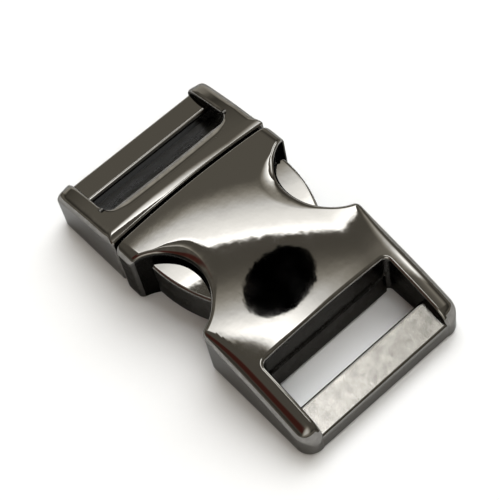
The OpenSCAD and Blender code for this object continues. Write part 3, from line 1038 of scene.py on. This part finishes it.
class Signal:
    """A socket in a shader tree. Arithmetic on it adds maths nodes."""

    def __init__(self, tree, socket=None):
        self.tree, self.socket = tree, socket

    def node(self, kind, settings=(), inputs=(), output=0):
        """Adds a node, sets its properties and then its inputs, and returns one output."""
        made = self.tree.nodes.new(kind)
        for name, value in dict(settings).items():
            setattr(made, name, value)
        for name, value in dict(inputs).items():
            if isinstance(value, Signal):
                self.tree.links.new(value.socket, made.inputs[name])
            else:
                made.inputs[name].default_value = value
        return Signal(self.tree, made.outputs[output])

    def maths(self, operation, *values):
        """A maths node over the given values."""
        return self.node("ShaderNodeMath", {"operation": operation}, enumerate(values))

    def parts(self):
        """X, Y and Z of this vector."""
        split = self.node("ShaderNodeSeparateXYZ", (), {"Vector": self}).socket.node
        return [Signal(self.tree, output) for output in split.outputs]

    def length(self):
        """Length of this vector."""
        return self.node("ShaderNodeVectorMath", {"operation": "LENGTH"}, {0: self}, "Value")

    def scaled(self, factor):
        """This vector or colour times one number."""
        return self.node("ShaderNodeVectorMath", {"operation": "SCALE"},
                         {0: self, "Scale": factor})

    def stretched(self, factors):
        """This vector with a factor of its own for X, Y and Z."""
        return self.node("ShaderNodeVectorMath", {"operation": "MULTIPLY"}, {0: self, 1: factors})

    def above(self, least):
        """This signal, or the least value where that is greater."""
        return self.maths("MAXIMUM", self, least)

    def below(self, most):
        """This signal, or the greatest value where that is smaller."""
        return self.maths("MINIMUM", self, most)

    def blend_colour(self, low, high):
        """Colour between low and high, with this signal as the share of high."""
        made = self.tree.nodes.new("ShaderNodeMix")
        made.data_type = "RGBA"
        for name, value in (("Factor_Float", self), ("A_Color", low), ("B_Color", high)):
            socket = next(s for s in made.inputs if s.identifier == name)
            if isinstance(value, Signal):
                self.tree.links.new(value.socket, socket)
            else:
                socket.default_value = value
        return Signal(self.tree, next(s for s in made.outputs if s.identifier == "Result_Color"))

    def ramp(self, low, high):
        """This signal stretched from the span low to high onto 0 to 1, with soft ends."""
        return self.node("ShaderNodeMapRange", {"interpolation_type": "SMOOTHSTEP"},
                         {"Value": self, "From Min": low, "From Max": high})

    def noise(self, scale, detail=2.0, roughness=0.5):
        """Noise over this vector, around 0.5."""
        return self.node("ShaderNodeTexNoise", {}, {
            "Vector": self, "Scale": scale, "Detail": detail, "Roughness": roughness,
        })

    def __abs__(self):
        return self.maths("ABSOLUTE", self)

    def __add__(self, other):
        return self.maths("ADD", self, other)

    __radd__ = __add__

    def __sub__(self, other):
        return self.maths("SUBTRACT", self, other)

    def __rsub__(self, other):
        return self.maths("SUBTRACT", other, self)

    def __mul__(self, other):
        return self.maths("MULTIPLY", self, other)

    __rmul__ = __mul__

    def __truediv__(self, other):
        return self.maths("DIVIDE", self, other)

    def __rtruediv__(self, other):
        return self.maths("DIVIDE", other, self)


def shade(colour, factor=1.0):
    """A colour made darker or lighter, with its alpha."""
    return (*(min(1.0, factor * c) for c in colour), 1.0)


def new_material(name):
    """An empty node material, and its tree, its shader and its place in millimetres."""
    material = bpy.data.materials.new(name)
    material.use_nodes = True
    tree = material.node_tree
    shader = next(n for n in tree.nodes if n.type == "BSDF_PRINCIPLED")
    place = Signal(tree).node("ShaderNodeTexCoord", output="Object").scaled(1 / MM)
    return material, tree, shader, place


def feed(tree, shader, **sockets):
    """Sets or links the shader's sockets, whose names are given with underscores."""
    for name, value in sockets.items():
        socket = shader.inputs[name.replace("_", " ")]
        if isinstance(value, Signal):
            tree.links.new(value.socket, socket)
        else:
            socket.default_value = value


def bumped(tree, strength, distance, height):
    """A normal from a height, whose full range is a distance in metres."""
    return Signal(tree).node("ShaderNodeBump", {}, {
        "Strength": strength, "Distance": distance, "Height": height,
    })


def plating(finish, kind):
    """One kind of dark plating: a mirror with worn edges, a wall darkened with painted shade, or a
    grained face.
    """
    material, tree, shader, place = new_material(f"plating_{kind}")
    smudge, speck = place.noise(*SMUDGES), place.noise(*SPECKS)
    colour, edge = finish.plating_colour, finish.edge_reflection
    # Painted shade: walls in hollows, the strap way and the notches get a darker colour and a
    # weaker grazing reflection
    if kind in PAINTED_SHADES:
        low, high = PAINTED_SHADES[kind]
        base = smudge.blend_colour(shade(colour, low), shade(colour, high))
        rough = smudge * WALL_ROUGH["smudge"] + speck * WALL_ROUGH["speck"] + WALL_ROUGH["least"]
        height = speck * WALL_HEIGHT
        edge *= high
    elif kind == "frosted":
        low, high = (shade(colour, factor) for factor in FROSTED_SHADES)
        grain = place.noise(finish.grain, *FROST_GRAIN)
        base = place.noise(*FROST_CLOUDS).ramp(*FROST_SPAN).blend_colour(low, high)
        rough = grain * FROST_ROUGH + (finish.frost_roughness - FROST_ROUGH / 2)
        height = grain * FROST_HEIGHT
    else:
        scratch = place.stretched(SCRATCH_STRETCH).noise(*SCRATCHES).ramp(*SCRATCH_SPAN)
        edges = Signal(tree).node("ShaderNodeAttribute", {"attribute_name": "edge"}, output="Fac")
        wear = edges * place.noise(*WEAR).ramp(*WEAR_SPAN) * finish.edge_wear
        base = wear.blend_colour(shade(colour), shade(colour, WORN_SHADE))
        rough = smudge.ramp(*SMUDGE_SPAN) * MIRROR_ROUGH["smudge"]
        rough = rough + scratch * MIRROR_ROUGH["scratch"] + speck * MIRROR_ROUGH["speck"]
        rough = rough + (finish.plating_roughness - MIRROR_ROUGH["speck"])
        height = scratch * SCRATCH_HEIGHT + smudge * SMUDGE_HEIGHT
    feed(tree, shader, Base_Color=base, Metallic=1.0, Roughness=rough,
         Normal=bumped(tree, 1.0, MM * finish.scratch_depth, height),
         Specular_Tint=(edge, edge, edge, 1.0))
    return material


def platings(context):
    """Every kind of plating, in the order of the skins' material slots."""
    return [plating(context.scene.buckle_finish, kind) for kind in KINDS]


def pin_steel(name, finish):
    """Turned steel of the hinge pins."""
    material, tree, shader, place = new_material(name)
    rings = place.stretched(TURNING_STRETCH).noise(*TURNING)
    more, least = PIN_ROUGH
    feed(tree, shader, Base_Color=shade(finish.pin_colour), Metallic=1.0,
         Roughness=rings * more + least,
         Normal=bumped(tree, PIN_STRENGTH, MM * PIN_HEIGHT, rings))
    return material


def floor_surface(name, stage):
    """Pale matt ground with a trace of grain, and a painted shadow under the plug's strap bar."""
    material, tree, shader, place = new_material(name)
    grain = place.noise(*GROUND_GRAIN)
    colour = stage.floor_colour
    base = grain.blend_colour(shade(colour, GROUND_SHADE), shade(colour))
    x, y, _ = place.parts()
    # Painted shadow: the ground darkens in a soft box under the plug's strap bar
    under = x.ramp(*UNDER_BAR_REAR) * x.ramp(*UNDER_BAR_FRONT) * abs(y).ramp(*UNDER_BAR_SIDE)
    base = under.blend_colour(base, shade(colour, UNDER_BAR_PAINTED_SHADOW))
    more, least = GROUND_ROUGH
    feed(tree, shader, Base_Color=base, Roughness=grain * more + least,
         Specular_IOR_Level=GROUND_SHEEN)
    return material


def patch(way, spans):
    """Where a direction's parts lie in all the spans, each with a soft border."""
    shares = [way[part].ramp(low, high) for part, low, high in spans]
    return math.prod(shares[1:], start=shares[0])


def tent_surface(name, stage):
    """Inside of a light tent: a bright sheet with one sharp edge, a pale sheet and a lens hole."""
    material = bpy.data.materials.new(name)
    material.use_nodes = True
    tree = material.node_tree
    tree.nodes.remove(next(n for n in tree.nodes if n.type == "BSDF_PRINCIPLED"))
    place = Signal(tree).node("ShaderNodeTexCoord", output="Object")
    x, y, z = place.parts()
    reach = place.length()
    way = (x / reach, y / reach, z / reach)
    rise = z.above(reach * LEAST_RISE)
    across, along = x / rise, y / rise
    right, left = across.above(0.0), across.below(0.0)

    # How far a slant lies past the bright sheet's edge, which is ragged and bends
    bend_from, bend = SHEET_EDGE_BEND
    past = (along - SHEET_EDGE[1]) * SHEET_EDGE_WAY[1]
    past = past + (across - SHEET_EDGE[0]) * SHEET_EDGE_WAY[0]
    past = past - (along - bend_from).above(0.0) * bend
    past = past + (place.noise(*SHEET_RAGS) - 0.5) * SHEET_RAGGED
    sheet = past.ramp(*SHEET_GLOW[0]) * SHEET_GLOW[1] + past.ramp(*SHEET_GLARE[0]) * SHEET_GLARE[1]
    sheet = sheet * across.ramp(*SHEET_SIDE) + SHEET_LEAST

    # The pale sheet on the near side of the edge grows brighter away from it
    short = left * PALE_LEFT - right * PALE_RIGHT - past
    pale = short.above(0.0) / PALE_WIDTH
    pale = (pale * pale * pale).below(PALE_MOST)
    foot = along - left * PALE_FOOT[0] - right * PALE_FOOT[1] - PALE_FOOT[2]
    pale = pale * foot.ramp(*PALE_FOOT_SOFT) * across.ramp(*PALE_SIDE)
    dip_right, dip_along, dip = PALE_DIP
    pale = pale * (1 - right.ramp(*dip_right) * along.ramp(*dip_along) * dip) + PALE_LEAST
    share = past.ramp(*SHEET_SOFT)
    light = sheet * share + pale * (1 - share)

    # Low down the tent is dim, with a faint streak on the plug's side and a pale patch opposite
    glow_span, glow = LOW_GLOW
    light = light * way[UP].ramp(*LOW_FADE) + way[UP].ramp(*glow_span) * glow + LEAST_LIGHT
    light = light + patch(way, STREAK) * STREAK_LIGHT + patch(way, BEHIND) * BEHIND_LIGHT
    brown = patch(way, BROWN)

    # The dark round hole for the lens
    lens_x, lens_y = across - LENS_PLACE[0], along - LENS_PLACE[1]
    lens = place.node("ShaderNodeCombineXYZ", (), {
        "X": lens_x + lens_y * LENS_SHEAR, "Y": lens_y * LENS_SQUASH, "Z": 0.0,
    }).length().ramp(*LENS_EDGE)
    light = (light * (1 - brown) + brown * BROWN_LIGHT) * lens
    tint = light.ramp(0.0, BRIGHT_FROM).blend_colour(DIM_TINT, BRIGHT_TINT)
    shine = brown.blend_colour(tint, BROWN_TINT).scaled(light)
    emission = tree.nodes.new("ShaderNodeEmission")
    emission.inputs["Strength"].default_value = stage.tent_strength / FULL_LIGHT
    tree.links.new(shine.socket, emission.inputs["Color"])
    output = next(n for n in tree.nodes if n.type == "OUTPUT_MATERIAL")
    tree.links.new(emission.outputs[0], output.inputs["Surface"])
    return material


def light_tent(stage):
    """A dome round the buckle that lights it but that the camera doesn't see."""
    (rows, cols), radius = TENT_GRID, TENT_RADIUS
    points = []
    for i in range(rows):
        lift = math.pi / 2 * i / rows
        for j in range(cols):
            turn = 2 * math.pi * j / cols
            points.append((radius * math.cos(lift) * math.cos(turn),
                           radius * math.cos(lift) * math.sin(turn), radius * math.sin(lift)))
    points.append((0, 0, radius))
    faces = []
    for j in range(cols):
        k = (j + 1) % cols
        for i in range(rows - 1):
            faces.append((i * cols + j, (i + 1) * cols + j, (i + 1) * cols + k, i * cols + k))
        faces.append(((rows - 1) * cols + j, rows * cols, (rows - 1) * cols + k))
    mesh = bpy.data.meshes.new("light_tent")
    mesh.from_pydata(points, [], faces)
    mesh.materials.append(tent_surface("tent_cloth", stage))
    tent = bpy.data.objects.new("light_tent", mesh)
    bpy.context.scene.collection.objects.link(tent)
    tent.visible_camera = False
    tent.visible_shadow = False


def colour_property(name, default, description):
    """A colour without alpha."""
    return bpy.props.FloatVectorProperty(
        name=name, default=default, size=3, subtype="COLOR", min=0.0, max=1.0,
        description=description)


class BuckleFinish(bpy.types.PropertyGroup):
    """Colours and surfaces of the metal."""

    plating_colour: colour_property("Plating", (0.19, 0.185, 0.175), "Reflection of the plating")
    pin_colour: colour_property("Pins", (0.42, 0.41, 0.4), "Reflection of the hinge pins")
    plating_roughness: bpy.props.FloatProperty(
        name="Roughness", default=0.035, min=0.0, max=1.0,
        description="Roughness of the polished plating")
    edge_reflection: bpy.props.FloatProperty(
        name="Grazing Reflection", default=0.5, min=0.0, max=1.0,
        description="How much of the usual mirroring is left where the plating is seen edge on")
    frost_roughness: bpy.props.FloatProperty(
        name="Frost", default=0.16, min=0.13, max=1.0,
        description="Roughness of the grained top of the socket's strap bar")
    grain: bpy.props.FloatProperty(
        name="Grain", default=9.0, min=1.0, max=40.0,
        description="Fineness of the frosted grain, in cells for each millimetre")
    scratch_depth: bpy.props.FloatProperty(
        name="Scratches", default=1.0, min=0.0, max=4.0,
        description="Depth of scratches and unevenness, as a multiple of the usual")
    edge_wear: bpy.props.FloatProperty(
        name="Edge Wear", default=0.5, min=0.0, max=1.0,
        description="How far rounded edges have worn brighter")
    crease_radius: bpy.props.FloatProperty(
        name="Crease", default=0.003, min=0.001, max=0.0032, unit="LENGTH",
        description="Radius of the crease above the plug's sloped face")


class BuckleStage(bpy.types.PropertyGroup):
    """Ground, light and camera."""

    floor_colour: colour_property("Ground", (0.88, 0.9, 0.92), "Colour of the ground")
    sky_colour: colour_property("Surroundings", (0.5, 0.5, 0.5), "Colour of the surroundings")
    lamp_power: bpy.props.FloatProperty(
        name="Lamps", default=1.0, min=0.0, max=10.0,
        description="Strength of the lamps, as a multiple of the usual")
    tent_strength: bpy.props.FloatProperty(
        name="Tent", default=1.0, min=0.0, max=10.0,
        description="Brightness of the light tent that the metal mirrors")
    focal_length: bpy.props.FloatProperty(
        name="Focal Length", default=116.0, min=20.0, max=400.0,
        description="Focal length of the camera in millimetres")


class BUCKLE_OT_socket(bpy.types.Operator):
    """Build the female half of the buckle"""

    bl_idname = "buckle.socket"
    bl_label = "Socket"

    def execute(self, context):
        skin = socket_skin()
        skin.build("socket_skin", platings(context), "frame", "body_plating", "socket")
        return {"FINISHED"}


class BUCKLE_OT_plug(bpy.types.Operator):
    """Build the male half of the buckle"""

    bl_idname = "buckle.plug"
    bl_label = "Plug"

    def execute(self, context):
        skin = plug_skin(context.scene.buckle_finish.crease_radius / MM)
        skin.build("plug_skin", platings(context), "frame", "body_plating", "plug")
        return {"FINISHED"}


class BUCKLE_OT_latches(bpy.types.Operator):
    """Build the two latches"""

    bl_idname = "buckle.latches"
    bl_label = "Latches"

    def execute(self, context):
        materials = platings(context)
        for side, name in ((1, "left"), (-1, "right")):
            latch_skin(side).build(f"latch_{name}_skin", materials, f"{name}_arm",
                                   "latch_plating", f"latch_{name}")
        return {"FINISHED"}


class BUCKLE_OT_pins(bpy.types.Operator):
    """Give the two hinge pins their steel"""

    bl_idname = "buckle.pins"
    bl_label = "Pins"

    def execute(self, context):
        steel = pin_steel("turned_steel", context.scene.buckle_finish)
        for name in ("pin_left", "pin_right"):
            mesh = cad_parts[name].data
            mesh.materials.clear()
            mesh.materials.append(steel)
        return {"FINISHED"}


def aim(thing, place, target):
    """Puts a camera or a lamp at a place in metres and turns it to a target."""
    thing.location = place
    thing.rotation_euler = (Vector(target) - Vector(place)).to_track_quat("-Z", "Y").to_euler()


def lamp(name, direction, distance, size, power):
    """A soft area lamp that looks at the buckle from a direction."""
    light = bpy.data.lights.new(name, "AREA")
    light.shape = "RECTANGLE"
    light.size, light.size_y = size
    light.energy = power
    thing = bpy.data.objects.new(name, light)
    bpy.context.scene.collection.objects.link(thing)
    aim(thing, Vector(direction).normalized() * distance, (0, 0, 0))
    thing.visible_glossy = False


class BUCKLE_OT_stage(bpy.types.Operator):
    """Set the ground, the lamps and the camera"""

    bl_idname = "buckle.stage"
    bl_label = "Stage"

    def execute(self, context):
        scene, stage = context.scene, context.scene.buckle_stage
        mesh = bpy.data.meshes.new("ground")
        turns = ((-1, -1), (1, -1), (1, 1), (-1, 1))
        corners = [(x * GROUND_HALF, y * GROUND_HALF, 0) for x, y in turns]
        mesh.from_pydata(corners, [], [(0, 1, 2, 3)])
        mesh.materials.append(floor_surface("ground_matt", stage))
        ground = bpy.data.objects.new("ground", mesh)
        scene.collection.objects.link(ground)

        world = bpy.data.worlds.new("surroundings")
        world.use_nodes = True
        sky = world.node_tree.nodes["Background"]
        sky.inputs["Color"].default_value = (*stage.sky_colour, 1.0)
        sky.inputs["Strength"].default_value = 1.0
        scene.world = world
        light_tent(stage)
        for name, direction, distance, size, power in LAMPS:
            lamp(name, direction, distance, size, power * stage.lamp_power)

        camera = bpy.data.objects.new("camera", bpy.data.cameras.new("camera"))
        camera.data.lens = stage.focal_length
        camera.data.clip_start = 0.01
        scene.collection.objects.link(camera)
        place = Vector(CAMERA_PLACE)
        azimuth, elevation = (math.radians(a) for a in CAMERA_ANGLES)
        look = -Vector((
            math.sin(azimuth) * math.cos(elevation),
            -math.cos(azimuth) * math.cos(elevation),
            math.sin(elevation),
        ))
        side = look.cross(Vector((0, 0, 1))).normalized()
        turn = Matrix((side, side.cross(look), -look)).transposed().to_quaternion()
        target = Vector(CAMERA_TARGET) - place
        camera.rotation_mode = "QUATERNION"
        camera.rotation_quaternion = look.rotation_difference(target) @ turn
        camera.location = place
        scene.camera = camera
        scene.view_settings.view_transform = "Standard"
        return {"FINISHED"}


class BUCKLE_PT_sidebar(bpy.types.Panel):
    """Steps and settings of the buckle"""

    bl_idname = "BUCKLE_PT_sidebar"
    bl_label = "Side-Release Buckle"
    bl_space_type = "VIEW_3D"
    bl_region_type = "UI"
    bl_category = "Buckle"

    def draw(self, context):
        layout = self.layout
        for step in STEPS:
            layout.operator(step.bl_idname)
        for group in (context.scene.buckle_finish, context.scene.buckle_stage):
            column = layout.column()
            for name in group.__annotations__:
                column.prop(group, name)


STEPS = (BUCKLE_OT_socket, BUCKLE_OT_plug, BUCKLE_OT_latches, BUCKLE_OT_pins, BUCKLE_OT_stage)
CLASSES = (BuckleFinish, BuckleStage, *STEPS, BUCKLE_PT_sidebar)


def register():
    for item in CLASSES:
        bpy.utils.register_class(item)
    bpy.types.Scene.buckle_finish = bpy.props.PointerProperty(type=BuckleFinish)
    bpy.types.Scene.buckle_stage = bpy.props.PointerProperty(type=BuckleStage)


def unregister():
    del bpy.types.Scene.buckle_stage
    del bpy.types.Scene.buckle_finish
    for item in reversed(CLASSES):
        bpy.utils.unregister_class(item)


def main():
    register()
    bpy.ops.buckle.socket()
    bpy.ops.buckle.plug()
    bpy.ops.buckle.latches()
    bpy.ops.buckle.pins()
    bpy.ops.buckle.stage()
    bpy.context.view_layer.update()


if __name__ == "__main__":
    main()
